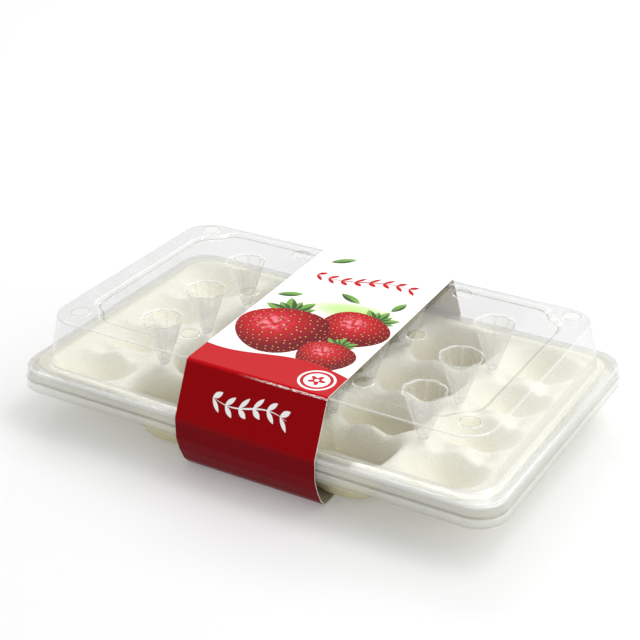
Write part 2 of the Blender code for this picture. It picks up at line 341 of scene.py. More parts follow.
def clearMaterial(name):
    tint, veil, roughness, ripple = clearFinishes[name]
    material, tree, output = startMaterial("clear" + name.capitalize())
    place = addNode(tree, "ShaderNodeTexCoord").outputs["Object"]
    ripples = noiseAt(tree, place, clearLook["rippleSize"])
    normal = bumpFrom(tree, ripples, ripple, clearLook["rippleHeight"])
    facing = addNode(tree, "ShaderNodeLayerWeight", {"Blend": 0.5, "Normal": normal}).outputs["Facing"]
    steep = calc(tree, "POWER", facing, clearLook["steepness"])
    mirrored = calc(tree, "MULTIPLY_ADD", steep, 1 - clearLook["headOn"], clearLook["headOn"])
    through = addNode(tree, "ShaderNodeBsdfTransparent", {"Color": (*tint, 1.0)})
    scatter = addNode(tree, "ShaderNodeBsdfDiffuse", {"Color": (*clearLook["veilColour"], 1.0)})
    gloss = addNode(tree, "ShaderNodeBsdfGlossy",
                    {"Color": (1.0, 1.0, 1.0, 1.0), "Roughness": roughness, "Normal": normal})
    body = addNode(tree, "ShaderNodeMixShader", {0: veil, 1: through.outputs[0], 2: scatter.outputs[0]})
    sheet = addNode(tree, "ShaderNodeMixShader", {0: mirrored, 1: body.outputs[0], 2: gloss.outputs[0]})
    tree.links.new(sheet.outputs[0], output.inputs["Surface"])
    return material


clearMaterials = [clearMaterial(name) for name in clearOrder]

pack = {
    "length": 300.0,
    "depth": 185.5,
    "corner": 17.0,
    "cornerSteps": 12,
    "sheet": 0.4,
}


def paintFoot(bm):
    # low down, upright faces are skirt and flat ones are flange
    for face in bm.faces:
        if face.material_index == 0 and face.calc_center_median().z < flangeTop:
            face.material_index = footPaint if abs(face.normal.z) < 0.5 else flangePaint


def roundedPlan(inset):
    # the pack's rounded rectangle, with the same corner radius at every inset
    halfX = pack["length"] / 2 - inset - pack["corner"]
    halfY = pack["depth"] / 2 - inset - pack["corner"]
    points = []
    for quarter, (sideX, sideY) in enumerate([(1, 1), (-1, 1), (-1, -1), (1, -1)]):
        centre = (sideX * halfX, sideY * halfY)
        points += arcPoints(centre, pack["corner"], 90 * quarter, 90 * quarter + 90, pack["cornerSteps"])
    return points


lid = {
    # inset and height of each bend, from the skirt's lip to the top border
    "profile": [(-0.95, 26.8), (-0.72, 27.4), (0.0, 33.7), (9.3, 34.3), (13.6, 63.3), (15.2, 63.3)],
    "bend": 1.0,
    # finishes of the flats and of each bend, here and on the panel's step: painted shade lines at the
    # skirt's lip and the step's foot, painted highlight lines at the other bends
    "bendPaints": [0, shadePaint, bendHighlightPaint, bendHighlightPaint, bendHighlightPaint],
    "stepPaints": [0, bendHighlightPaint, shadeLinePaint],
    "panelHalfX": 124.0,
    "panelFront": -67.5,
    "panelBack": 74.0,
    # inset from the panel's own outline, and height
    "panelStep": [(-0.7, 63.3), (0.0, 63.3), (2.5, 61.7), (3.2, 61.7)],
    "stepBend": 0.55,
    "notchRadius": 17.2,
    "notchOffset": 2.2,
    "notchLead": 12.0,        # straight run beside each notch that is eased into it
    "leadSteps": 5,
    "easing": 8,
    "ventRadius": 5.0,
    "ventSides": 32,
    "ventX": 55.0,
    "ventY": (-52.6, 8.6, 68.4),
    "cornerVentX": 122.4,
    "cornerVentY": (-64.2, 69.8),
    # radius past the hole and height of the small bead round each vent
    "ventBead": [(1.4, 0.0), (0.95, 0.0), (0.6, 0.25), (0.2, 0.3), (0.0, 0.05)],
    # the bead is painted with a highlight ring, then shade rows whose cut edge takes the darker shade line
    "ventPaints": [0, 0, bendHighlightPaint, shadePaint, shadePaint],
}

cones = {
    "columns": 4,
    "rows": 3,
    "pitchX": 55.57,
    "pitchY": 43.8,
    "centre": (3.95, -1.1),
    "mouth": 11.4,
    "neck": 2.8,
    "tipHeight": 32.3,
    "tipRound": 2.2,
    "tipEnd": 0.25,           # radius of the small flat that ends the tip
    "lip": 1.1,
    "lipHold": 0.5,
    "roundSteps": 4,          # rows in the lip's round and in the tip's
    "flutes": 8,
    "fluteSteps": 8,
    "fluteDepth": 0.075,
    "fluteFade": 0.5,         # share of the depth that is lost on the way down
    "wallSteps": 10,
}


def panelPlan(inset):
    # the panel's outline: straight sides, and a hollow arc round each corner vent
    radius = lid["notchRadius"] + inset
    lean = math.degrees(math.asin((lid["notchOffset"] + inset) / radius))
    notchX = lid["panelHalfX"] + lid["notchOffset"]
    notchBack = lid["panelBack"] + lid["notchOffset"]
    notchFront = lid["panelFront"] - lid["notchOffset"]
    centres = [(notchX, notchBack), (-notchX, notchBack), (-notchX, notchFront), (notchX, notchFront)]
    gap = lid["notchLead"] / lid["leadSteps"]
    points = []
    for quarter, centre in enumerate(centres):
        turn = 90 * quarter
        arc = arcPoints(centre, radius, 270 + turn - lean, 180 + turn + lean, pack["cornerSteps"])
        along = (math.cos(math.radians(90 + turn)), math.sin(math.radians(90 + turn)))
        after = (-along[1], along[0])
        for step in range(lid["leadSteps"], 0, -1):
            points.append((arc[0][0] - along[0] * gap * step, arc[0][1] - along[1] * gap * step))
        points += arc
        for step in range(1, lid["leadSteps"] + 1):
            points.append((arc[-1][0] + after[0] * gap * step, arc[-1][1] + after[1] * gap * step))
    return points


def easedOutline(inset, height):
    # the panel's outline with each notch eased into its straight sides
    bm = bmesh.new()
    ring = placeRing(bm, lineUp(panelPlan(inset), height))
    cornerCount = len(ring) // 4
    eased = [vert for index, vert in enumerate(ring) if 0 < index % cornerCount < cornerCount - 1]
    for _ in range(lid["easing"]):
        bmesh.ops.smooth_vert(bm, verts=eased, factor=0.5, use_axis_x=True, use_axis_y=True)
    points = [tuple(vert.co) for vert in ring]
    bm.free()
    return points


def ventRing(bm, x, y, top):
    # the bead round a vent hole, returned as the ring that meets the sheet
    sides = lid["ventSides"]
    outlines = []
    for wider, rise in lid["ventBead"]:
        circle = arcPoints((x, y), lid["ventRadius"] + wider, 0, 360 - 360 / sides, sides - 1)
        outlines.append(lineUp(circle, top + rise))
    return growWall(bm, outlines, lid["ventPaints"])[0]


def fluteOutline(centre, radius, depth):
    # round lobes with a narrow crease between them
    count = cones["flutes"] * cones["fluteSteps"]
    points = []
    for index in range(count):
        angle = math.tau * index / count
        crease = (1 - abs(math.cos(angle * cones["flutes"] / 2))) ** 2
        reach = radius * (1 - depth * crease)
        points.append((centre[0] + reach * math.cos(angle), centre[1] + reach * math.sin(angle)))
    return points


def coneRings(bm, centre, top):
    # from the lip in the panel down the fluted wall to the round tip
    quarter = [math.pi / 2 * step / cones["roundSteps"] for step in range(cones["roundSteps"] + 1)]
    rings = [(cones["mouth"] + cones["lip"] + cones["lipHold"], top, cones["fluteDepth"])]
    for angle in quarter:
        radius = cones["mouth"] + cones["lip"] * (1 - math.sin(angle))
        height = top - cones["lip"] * (1 - math.cos(angle))
        rings.append((radius, height, cones["fluteDepth"]))
    wallTop = top - cones["lip"]
    wallFoot = cones["tipHeight"] + cones["tipRound"]
    for step in range(1, cones["wallSteps"] + 1):
        share = step / cones["wallSteps"]
        radius = cones["mouth"] + (cones["neck"] - cones["mouth"]) * share
        height = wallTop + (wallFoot - wallTop) * share
        rings.append((radius, height, cones["fluteDepth"] * (1 - cones["fluteFade"] * share)))
    for angle in quarter[1:]:
        radius = max(cones["neck"] * math.cos(angle), cones["tipEnd"])
        height = wallFoot - cones["tipRound"] * math.sin(angle)
        rings.append((radius, height, 0.0))
    before = set(bm.faces)
    mouth, tip = growWall(bm, [lineUp(fluteOutline(centre, radius, depth), height)
                               for radius, height, depth in rings])
    bmesh.ops.holes_fill(bm, edges=ringEdges(tip), sides=0)
    # the lip and tip are painted with the bend highlight, and the faces beside each crease with painted
    # highlight lines
    for face in set(bm.faces) - before:
        middle = face.calc_center_median()
        angle = math.atan2(middle.y - centre[1], middle.x - centre[0]) * cones["flutes"] / math.tau
        crease = (angle % 1 - 0.5) * cones["fluteSteps"]
        if middle.z > top - tiny:
            continue
        if middle.z > wallTop or middle.z < wallFoot:
            face.material_index = bendHighlightPaint
        elif abs(crease) < 1:
            face.material_index = creaseHighlightPaint
        else:
            face.material_index = conePaint
    return mouth


def makeLid():
    print("lid")
    bm = bmesh.new()
    profile = softProfile(lid["profile"], lid["bend"])
    crown = growWall(bm, [lineUp(roundedPlan(inset), height) for (inset, height), _ in profile],
                     [lid["bendPaints"][bend] for _, bend in profile])[1]
    profile = softProfile(lid["panelStep"], lid["stepBend"])
    stepTop, stepFoot = growWall(bm, [easedOutline(inset, height) for (inset, height), _ in profile],
                                 [lid["stepPaints"][bend] for _, bend in profile])
    borderTop = lid["profile"][-1][1]
    panelTop = lid["panelStep"][-1][1]
    cornerVents = [ventRing(bm, side * lid["cornerVentX"], y, borderTop)
                   for side in (-1, 1) for y in lid["cornerVentY"]]
    fillBetween(bm, [crown, stepTop] + cornerVents)
    panelHoles = [ventRing(bm, side * lid["ventX"], y, panelTop)
                  for side in (-1, 1) for y in lid["ventY"]]
    for column in range(cones["columns"]):
        for row in range(cones["rows"]):
            x = cones["centre"][0] + (column - (cones["columns"] - 1) / 2) * cones["pitchX"]
            y = cones["centre"][1] + (row - (cones["rows"] - 1) / 2) * cones["pitchY"]
            panelHoles.append(coneRings(bm, (x, y), panelTop))
    fillBetween(bm, [stepFoot] + panelHoles)
    faceUp(bm)
    paintFoot(bm)
    piece = finishPiece("clearLid", bm, clearMaterials, "lid")
    giveThickness(piece, pack["sheet"], rimMaterial=1)
    return piece


base = {
    # skirt lip, skirt, step under the lid, ledge, turned-down edge
    "profile": [(-1.15, 21.6), (-0.85, 22.2), (-0.6, 26.1), (1.2, 26.6), (1.45, 31.2), (8.4, 31.2),
                (8.4, 25.2)],
    "bend": 0.7,
    "bendSteps": 3,
    # finishes of the flats and of each bend: painted shade lines at the skirt's lip and the step under the
    # lid, painted highlight lines at the other bends
    "bendPaints": [0, shadePaint, bendHighlightPaint, shadePaint, bendHighlightPaint, bendHighlightPaint],
}


def makeBase():
    print("base")
    bm = bmesh.new()
    profile = softProfile(base["profile"], base["bend"], base["bendSteps"])
    growWall(bm, [lineUp(roundedPlan(inset), height) for (inset, height), _ in profile],
             [base["bendPaints"][bend] for _, bend in profile])
    faceUp(bm)
    paintFoot(bm)
    piece = finishPiece("clearBase", bm, clearMaterials, "base")
    giveThickness(piece, pack["sheet"], rimMaterial=1)
    return piece


tray = {
    "sheet": 1.1,
    # left, right, front and back
    "edges": (-147.3, 142.9, -85.6, 88.0),
    "corner": 16.0,
    "borderTop": 32.65,
    "webTop": 31.3,
    "webEdges": (-139.3, 135.6, -80.8, 82.1),
    "webCorner": 13.0,
    "borderRise": 1.4,
    "borderSteps": 4,
    "columns": 5,
    "rows": 4,
    "pitchX": 55.6,
    "pitchY": 41.8,
    "centre": (-3.4, 1.2),
    "halfX": 24.4,
    "halfY": 17.9,
    "squareness": 2.5,
    "cellSteps": 32,          # even, grid steps across one well
    "rimShare": 0.84,
    "bunching": 1.6,          # over 1, the grid's rows stand closer towards the rim
    # depth, the two powers of the bowl's curve, and how far its lowest spot lies to the back,
    # or to the front where it is negative
    "deep": (29.3, 7.0, 0.4, -4.0),
    "shallow": (18.6, 2.0, 1.4, 3.0),
    "channelDepth": 7.0,
    "channelOffset": 12.0,
    "channelWidth": 6.5,
    "channelLength": 7.0,
    "softening": 14,
    "sharpAngle": 60,
}

trayLook = {
    "colour": (0.925, 0.91, 0.785, 1.0),
    "shade": (0.9, 0.88, 0.74, 1.0),
    # deep: painted shade, a darker and yellower colour for the tray's low parts and wells
    "deep": (0.66, 0.61, 0.4, 1.0),
    # heights in metres between which the painted shade of the low parts comes in
    "deepHeights": (0.03, 0.006),
    # how far from the middle the end wells begin, and how much of that painted shade they have
    "endWells": (0.08, 0.095),
    "endWellShade": 0.35,
    "roughness": 0.6,
    "mottleScale": 60.0,
    "pebbleScale": 620.0,
    "swellScale": 120.0,
    # strength and distance of each bump
    "pebbleBump": (0.4, 0.0006),
    "swellBump": (0.2, 0.0015),
}


def trayMaterial():
    material, tree, output = startMaterial("trayFoam")
    place = addNode(tree, "ShaderNodeTexCoord").outputs["Object"]
    mottle = noiseAt(tree, place, trayLook["mottleScale"], 3.0)
    pebbles = addNode(tree, "ShaderNodeTexVoronoi",
                      {"Vector": place, "Scale": trayLook["pebbleScale"]}, feature="F1").outputs["Distance"]
    swell = noiseAt(tree, place, trayLook["swellScale"])
    colour = mixColour(tree, mottle, trayLook["shade"], trayLook["colour"])
    parts = addNode(tree, "ShaderNodeSeparateXYZ", {0: place}).outputs
    # the low parts are darkened with painted shade, less so in the end wells
    deep = remap(tree, parts[2], *trayLook["deepHeights"])
    tone = remap(tree, calc(tree, "ABSOLUTE", parts[0]), *trayLook["endWells"], 1.0, trayLook["endWellShade"])
    colour = mixColour(tree, calc(tree, "MULTIPLY", deep, tone), colour, trayLook["deep"])
    normal = bumpFrom(tree, pebbles, *trayLook["pebbleBump"])
    normal = bumpFrom(tree, swell, *trayLook["swellBump"], normal)
    shader = addNode(tree, "ShaderNodeBsdfPrincipled",
                     {"Base Color": colour, "Roughness": trayLook["roughness"], "Normal": normal})
    tree.links.new(shader.outputs[0], output.inputs["Surface"])
    return material


def wellCentre(column, row):
    return (tray["centre"][0] + (column - (tray["columns"] - 1) / 2) * tray["pitchX"],
            tray["centre"][1] + (row - (tray["rows"] - 1) / 2) * tray["pitchY"])


def channelDip(x, y):
    # low saddles that join each well to the one behind it
    dip = 0.0
    for column in range(tray["columns"]):
        for row in range(1, tray["rows"]):
            middleX, middleY = wellCentre(column, row - 0.5)
            for side in (-1, 1):
                across = (x - middleX - side * tray["channelOffset"]) / tray["channelWidth"]
                along = (y - middleY) / tray["channelLength"]
                dip = max(dip, tray["channelDepth"] * math.exp(-across ** 2 - along ** 2))
    return dip


def pullInside(x, y, edges, radius):
    # a point pulled into a rounded rectangle
    left, right, front, back = edges
    x = clamp(x, left, right)
    y = clamp(y, front, back)
    centreX = clamp(x, left + radius, right - radius)
    centreY = clamp(y, front + radius, back - radius)
    reach = math.hypot(x - centreX, y - centreY)
    if reach > radius:
        x = centreX + (x - centreX) * radius / reach
        y = centreY + (y - centreY) * radius / reach
    return x, y


def wellPoint(column, row, i, j):
    # i and j run from -1 to 1 across the well's cell
    centreX, centreY = wellCentre(column, row)
    out = max(abs(i), abs(j))
    angle = math.atan2(j * tray["halfY"], i * tray["halfX"])
    power = tray["squareness"]
    spread = (abs(math.cos(angle) / tray["halfX"]) ** power
              + abs(math.sin(angle) / tray["halfY"]) ** power)
    reach = spread ** (-1 / power)
    rim = (reach * math.cos(angle), reach * math.sin(angle))
    if out >= tray["rimShare"]:
        blend = (out - tray["rimShare"]) / (1 - tray["rimShare"])
        edge = (i / out * tray["pitchX"] / 2, j / out * tray["pitchY"] / 2)
        x = centreX + rim[0] * (1 - blend) + edge[0] * blend
        y = centreY + rim[1] * (1 - blend) + edge[1] * blend
        x, y = pullInside(x, y, tray["webEdges"], tray["webCorner"])
        return x, y, tray["webTop"] - channelDip(x, y)
    share = 1 - (1 - out / tray["rimShare"]) ** tray["bunching"]
    depth, inner, outer, shift = tray["shallow" if column in (0, tray["columns"] - 1) else "deep"]
    x = centreX + rim[0] * share
    y = centreY + rim[1] * share + shift * (1 - share)
    bowl = depth * (1 - share ** inner) ** outer
    return x, y, tray["webTop"] - max(bowl, channelDip(x, y))


def trayPoint(gx, gy):
    # grid steps counted from the wells' front left corner
    steps = tray["cellSteps"]
    lastX = steps * tray["columns"]
    lastY = steps * tray["rows"]
    nearX = clamp(gx, 0, lastX)
    nearY = clamp(gy, 0, lastY)
    column = min(nearX // steps, tray["columns"] - 1)
    row = min(nearY // steps, tray["rows"] - 1)
    point = wellPoint(column, row, 2 * (nearX - column * steps) / steps - 1,
                      2 * (nearY - row * steps) / steps - 1)
    out = max(abs(gx - nearX), abs(gy - nearY))
    if out == 0:
        return point
    sideX = (gx > lastX) - (gx < 0)
    sideY = (gy > lastY) - (gy < 0)
    spread = tray["borderRise"] / math.hypot(sideX, sideY)
    inner = (point[0] + sideX * spread, point[1] + sideY * spread)
    far = tray["edges"][1] - tray["edges"][0]
    outer = pullInside(point[0] + far * sideX, point[1] + far * sideY, tray["edges"], tray["corner"])
    blend = (out - 1) / (tray["borderSteps"] - 1)  # the rise from web to border is softened later
    x = inner[0] * (1 - blend) + outer[0] * blend
    y = inner[1] * (1 - blend) + outer[1] * blend
    return x, y, tray["borderTop"]


def makeTray():
    print("tray")
    border = tray["borderSteps"]
    countX = tray["cellSteps"] * tray["columns"] + 2 * border
    countY = tray["cellSteps"] * tray["rows"] + 2 * border
    bm = bmesh.new()
    bmesh.ops.create_grid(bm, x_segments=countX, y_segments=countY, size=1.0)
    softened = []
    for vert in bm.verts:
        gx = round((vert.co.x + 1) / 2 * countX) - border
        gy = round((vert.co.y + 1) / 2 * countY) - border
        vert.co = trayPoint(gx, gy)
        if not vert.is_boundary:
            softened.append(vert)
    for _ in range(tray["softening"]):
        bmesh.ops.smooth_vert(bm, verts=softened, factor=0.5,
                              use_axis_x=True, use_axis_y=True, use_axis_z=True)
    faceUp(bm)
    piece = finishPiece("wellTray", bm, [trayMaterial()], "tray", tray["sharpAngle"])
    giveThickness(piece, tray["sheet"])
    return piece


sleeve = {
    "card": 0.45,
    "centreX": 2.7,
    "width": 87.2,
    "skew": -0.038,
    # half of the section, from the underside's edge up to the top's
    "halfSection": [(81.2, 0.0), (84.2, 0.9), (88.0, 5.2), (92.0, 13.2), (94.7, 21.6), (94.7, 34.4),
                    (80.7, 63.1), (79.2, 64.05)],
    "fold": 0.5,
    "foldSegments": 3,
    "cuts": 12,
    "seamPull": 1e-4,         # keeps the seam's two sides apart where the print is placed
    "sharpAngle": 50,
}

cardLook = {
    "roughness": 0.3,
    "gloss": 0.05,
    "back": (0.56, 0.5, 0.39, 1.0),
    "edge": (0.88, 0.87, 0.82, 1.0),
    "paperShade": 0.94,
    "paperRoughness": 0.85,
    "fibreScale": 90.0,
    "paperScale": 400.0,
    # strength and distance of each bump
    "fibreBump": (0.06, 0.0004),
    "paperBump": (0.2, 0.0002),
}

inks = {
    "white": (0.9, 0.9, 0.89, 1.0),
    "redTop": (0.5, 0.003, 0.008, 1.0),
    # the two below are darker copies of redTop: painted shade on the sleeve's slopes and lower down
    "red": (0.28, 0.0, 0.002, 1.0),
    "redShadeLow": (0.17, 0.0, 0.004, 1.0),
    "berryLight": (0.55, 0.008, 0.018, 1.0),
    "berryDark": (0.14, 0.0, 0.004, 1.0),
    "shine": (0.85, 0.26, 0.32, 1.0),
    "seed": (0.74, 0.4, 0.1, 1.0),
    "leafLight": (0.17, 0.38, 0.07, 1.0),
    "leafDark": (0.035, 0.09, 0.028, 1.0),
    "wash": (0.46, 0.7, 0.17, 1.0),
}

printUnit = 100.0  # one unit of the print, in millimetres
# places are across the band and back from the front fold, turns in degrees
printPlan = {
    "inkEdge": 0.0014,
    "fieldHeight": 0.25,
    "fieldWave": 0.045,
    "fieldPitch": 6.5,
    "fieldPhase": 0.6,
    "backFold": 1.63,
    # how far out from the middle the red darkens into painted shade, at the top folds and at the folds
    # below them
    "redShadeFolds": [(0.8, 0.83), (1.12, 1.18)],
    # place, radius, turn
    "berries": [((0.2, 0.72), 0.21, -24), ((-0.15, 0.53), 0.265, 14), ((0.21, 0.38), 0.165, -8)],
    # place, length, width, turn
    "looseLeaves": [((-0.32, 0.95), 0.16, 0.06, 28), ((0.02, 1.07), 0.17, 0.062, -24),
                    ((-0.25, 1.5), 0.17, 0.06, 40), ((0.32, 1.1), 0.14, 0.055, 75)],
    # place, half size, turn
    "wash": ((0.1, 0.93), (0.3, 0.12), 10),
    "washStrength": 0.85,
    # place, length, turn, leaf pairs, ink
    "sprigs": [((0.0, -0.16), 0.5, -3, 6, "white"), ((0.0, 1.79), 0.5, 177, 6, "white"),
               ((0.0, 1.3), 0.66, 6, 8, "redTop")],
}


def motif(tree, place, centre, size, turn):
    # across and along inside a motif whose half size is 1
    local = addNode(tree, "ShaderNodeMapping",
                    {"Vector": place, "Location": (*centre, 0.0), "Scale": (*size, 1.0),
                     "Rotation": (0.0, 0.0, math.radians(turn))}, vector_type="TEXTURE")
    parts = addNode(tree, "ShaderNodeSeparateXYZ", {0: local.outputs[0]})
    return parts.outputs[0], parts.outputs[1]


def inkMask(tree, value, size):
    # 1 where the value is above nought, with the ink's own edge
    soft = printPlan["inkEdge"] / size
    return remap(tree, value, -soft, soft)


def leafMask(tree, place, centre, length, width, turn):
    x, y = motif(tree, place, centre, (length / 2, width / 2), turn)
    side = calc(tree, "ABSOLUTE", y)
    outline = calc(tree, "SUBTRACT", calc(tree, "SUBTRACT", 1.0, calc(tree, "MULTIPLY", x, x)), side)
    return inkMask(tree, outline, width / 2), x, y, side


leafLook = {
    # the light green lies towards the tip and one side
    "toneLean": 0.5,
    "tone": (-0.5, 0.7),
    "veinLean": -0.35,
    "veinPitch": 0.15,
    "veinWidth": 0.03,
    "veinShare": 0.4,
    "rib": (0.12, 0.03),
    "ribShare": 0.55,
}


def addLeaf(tree, place, colour, centre, length, width, turn):
    mask, x, y, side = leafMask(tree, place, centre, length, width, turn)
    tone = remap(tree, calc(tree, "MULTIPLY_ADD", x, leafLook["toneLean"], y), *leafLook["tone"])
    slanted = calc(tree, "MULTIPLY_ADD", side, leafLook["veinLean"], x)
    veins = calc(tree, "PINGPONG", slanted, leafLook["veinPitch"])
    vein = calc(tree, "MULTIPLY", remap(tree, veins, leafLook["veinWidth"], 0.0), leafLook["veinShare"])
    rib = calc(tree, "MAXIMUM", remap(tree, side, *leafLook["rib"]), vein)
    green = mixColour(tree, tone, inks["leafDark"], inks["leafLight"])
    green = mixColour(tree, calc(tree, "MULTIPLY", rib, leafLook["ribShare"]), green, inks["wash"])
    return mixColour(tree, mask, colour, green)


# sizes are in the berry's radius, and a pair says where a mask begins and where it is full
berryLook = {
    "taper": -0.2,
    "bulge": 0.35,
    "seedScale": 4.4,
    "seedScatter": 0.55,
    "seed": (0.13, 0.08),
    "dimple": (0.4, 0.2),
    "dimpleShare": 0.45,
    "lightPlace": (-0.25, 0.32, 0.0),
    "shade": (0.25, 1.2),
    "shine": (0.5, 0.12),
    "shineShare": 0.75,
    "patchScale": 6.0,
    "patches": (0.42, 0.62),
}


def addBerry(tree, place, colour, centre, radius, turn):
    # a round berry with a narrower foot, dimpled seeds and a soft shine
    x, y = motif(tree, place, centre, (radius, radius), turn)
    x = calc(tree, "MULTIPLY", x, calc(tree, "MULTIPLY_ADD", y, berryLook["taper"], 1.0))
    spot = addNode(tree, "ShaderNodeCombineXYZ", {0: x, 1: y}).outputs[0]
    reach = addNode(tree, "ShaderNodeVectorMath", {0: spot}, operation="LENGTH").outputs["Value"]
    bulge = calc(tree, "MULTIPLY_ADD", calc(tree, "MULTIPLY", reach, reach), berryLook["bulge"], 1.0)
    domed = addNode(tree, "ShaderNodeVectorMath", {0: spot, "Scale": bulge}, operation="SCALE").outputs[0]
    cells = addNode(tree, "ShaderNodeTexVoronoi",
                    {"Vector": domed, "Scale": berryLook["seedScale"],
                     "Randomness": berryLook["seedScatter"]},
                    voronoi_dimensions="2D").outputs["Distance"]
    light = addNode(tree, "ShaderNodeVectorMath", {0: spot, 1: berryLook["lightPlace"]},
                    operation="DISTANCE").outputs["Value"]
    red = mixColour(tree, remap(tree, light, *berryLook["shade"]), inks["berryLight"], inks["berryDark"])
    dimple = calc(tree, "MULTIPLY", remap(tree, cells, *berryLook["dimple"]), berryLook["dimpleShare"])
    red = mixColour(tree, dimple, red, inks["berryDark"])
    patches = remap(tree, noiseAt(tree, domed, berryLook["patchScale"]), *berryLook["patches"])
    patches = calc(tree, "MULTIPLY", patches, berryLook["shineShare"])
    shine = calc(tree, "MULTIPLY", remap(tree, light, *berryLook["shine"]), patches)
    red = mixColour(tree, shine, red, inks["shine"])
    red = mixColour(tree, remap(tree, cells, *berryLook["seed"]), red, inks["seed"])
    return mixColour(tree, inkMask(tree, calc(tree, "SUBTRACT", 1.0, reach), radius), colour, red)


crownLook = {
    "leaves": 6,
    "spread": 62,
    # shares of the berry's radius, and a leaf's width as a share of its length
    "foot": 0.82,
    "lengths": (0.58, 0.72),
    "width": 0.36,
}


def addCrown(tree, place, colour, centre, radius, turn):
    # leaves that fan out from the top of a berry
    up = math.radians(turn + 90)
    foot = crownLook["foot"] * radius
    top = (centre[0] + foot * math.cos(up), centre[1] + foot * math.sin(up))
    count = crownLook["leaves"]
    for index in range(count):
        lean = crownLook["spread"] * (2 * index / (count - 1) - 1)
        length = radius * crownLook["lengths"][index % 2]
        width = length * crownLook["width"]
        angle = up + math.radians(lean)
        middle = (top[0] + length / 2 * math.cos(angle), top[1] + length / 2 * math.sin(angle))
        colour = addLeaf(tree, place, colour, middle, length, width, math.degrees(angle))
    return colour


sprigLook = {
    "leaf": (0.078, 0.028),
    "lean": 46,
    # shares of the sprig's half length
    "wave": 0.1,
    "stem": 0.021,
    "stemTaper": -0.02,
    "stemEnd": 0.92,
    "leafEnd": 1.0,
}


def addSprig(tree, place, colour, centre, length, turn, pairs, ink):
    # a wavy stem with one pair of narrow leaves, repeated along it
    x, y = motif(tree, place, centre, (length / 2, length / 2), turn)
    bend = calc(tree, "SINE", calc(tree, "MULTIPLY", x, math.pi))
    bend = calc(tree, "MULTIPLY", bend, sprigLook["wave"])
    away = calc(tree, "ABSOLUTE", calc(tree, "SUBTRACT", y, bend))
    ends = calc(tree, "ABSOLUTE", x)
    width = calc(tree, "MULTIPLY_ADD", ends, sprigLook["stemTaper"], sprigLook["stem"])
    stem = inkMask(tree, calc(tree, "SUBTRACT", width, away), length / 2)
    # every pair has a stretch of its own, and its leaves begin a quarter of the way into it
    stretch = 2 / pairs
    fromFoot = calc(tree, "FRACT", calc(tree, "MULTIPLY", x, pairs / 2))
    fromFoot = calc(tree, "MULTIPLY_ADD", fromFoot, stretch, -stretch / 4)
    pairPlace = addNode(tree, "ShaderNodeCombineXYZ", {0: fromFoot, 1: away}).outputs[0]
    leafLength, leafWidth = [size / (length / 2) for size in sprigLook["leaf"]]
    lean = math.radians(sprigLook["lean"])
    middle = (leafLength / 2 * math.cos(lean), leafLength / 2 * math.sin(lean))
    leaf = leafMask(tree, pairPlace, middle, leafLength, leafWidth, sprigLook["lean"])[0]
    stem = calc(tree, "MULTIPLY", stem, calc(tree, "LESS_THAN", ends, sprigLook["stemEnd"]))
    leaf = calc(tree, "MULTIPLY", leaf, calc(tree, "LESS_THAN", ends, sprigLook["leafEnd"]))
    return mixColour(tree, calc(tree, "MAXIMUM", stem, leaf), colour, inks[ink])


badge = {
    "place": (0.3, 0.14),
    "radius": 0.105,
    "petals": 5,
    # shares of the radius
    "petalReach": 0.36,
    "petalDepth": 0.13,
    "heart": 0.13,
    "ring": 0.78,
    "ringWidth": 0.09,        # to each side of the ring's middle
}


def addBadge(tree, place, colour):
    # a white disc with a red ring and a plain red flower
    radius = badge["radius"]
    x, y = motif(tree, place, badge["place"], (radius, radius), 0)
    reach = calc(tree, "SQRT", calc(tree, "MULTIPLY_ADD", x, x, calc(tree, "MULTIPLY", y, y)))
    angle = calc(tree, "MULTIPLY", calc(tree, "ARCTAN2", y, x), badge["petals"])
    petals = calc(tree, "COSINE", angle)
    petals = calc(tree, "MULTIPLY_ADD", petals, badge["petalDepth"], badge["petalReach"])
    disc = inkMask(tree, calc(tree, "SUBTRACT", 1.0, reach), radius)
    fromRing = calc(tree, "ABSOLUTE", calc(tree, "SUBTRACT", reach, badge["ring"]))
    ring = inkMask(tree, calc(tree, "SUBTRACT", badge["ringWidth"], fromRing), radius)
    flower = inkMask(tree, calc(tree, "SUBTRACT", petals, reach), radius)
    heart = inkMask(tree, calc(tree, "SUBTRACT", badge["heart"], reach), radius)
    colour = mixColour(tree, disc, colour, inks["white"])
    colour = mixColour(tree, calc(tree, "MAXIMUM", ring, flower), colour, inks["redTop"])
    return mixColour(tree, heart, colour, inks["white"])


wear = {
    # the flakes' noise: stretch across and along, scale, detail, roughness
    "stretch": (22.0, 160.0, 1.0),
    "grain": (1.6, 3.0, 0.65),
    "flakes": (0.44, 0.56),
    # how far past the fold the scuffs lie, and how wide they are
    "place": 0.001,
    "width": (0.0075, 0.004),
    "side": (-0.12, 0.16),
}


def addWear(tree, place, colour, across, along):
    # scuffs along the front fold, where the ink has cracked off
    stretched = addNode(tree, "ShaderNodeMapping", {"Vector": place, "Scale": wear["stretch"]}).outputs[0]
    flakes = remap(tree, noiseAt(tree, stretched, *wear["grain"]), *wear["flakes"])
    fromFold = calc(tree, "ABSOLUTE", calc(tree, "SUBTRACT", along, wear["place"]))
    scuffs = calc(tree, "MULTIPLY", flakes, remap(tree, fromFold, *wear["width"]))
    scuffs = calc(tree, "MULTIPLY", scuffs, remap(tree, across, *wear["side"]))
    return mixColour(tree, scuffs, colour, inks["white"])


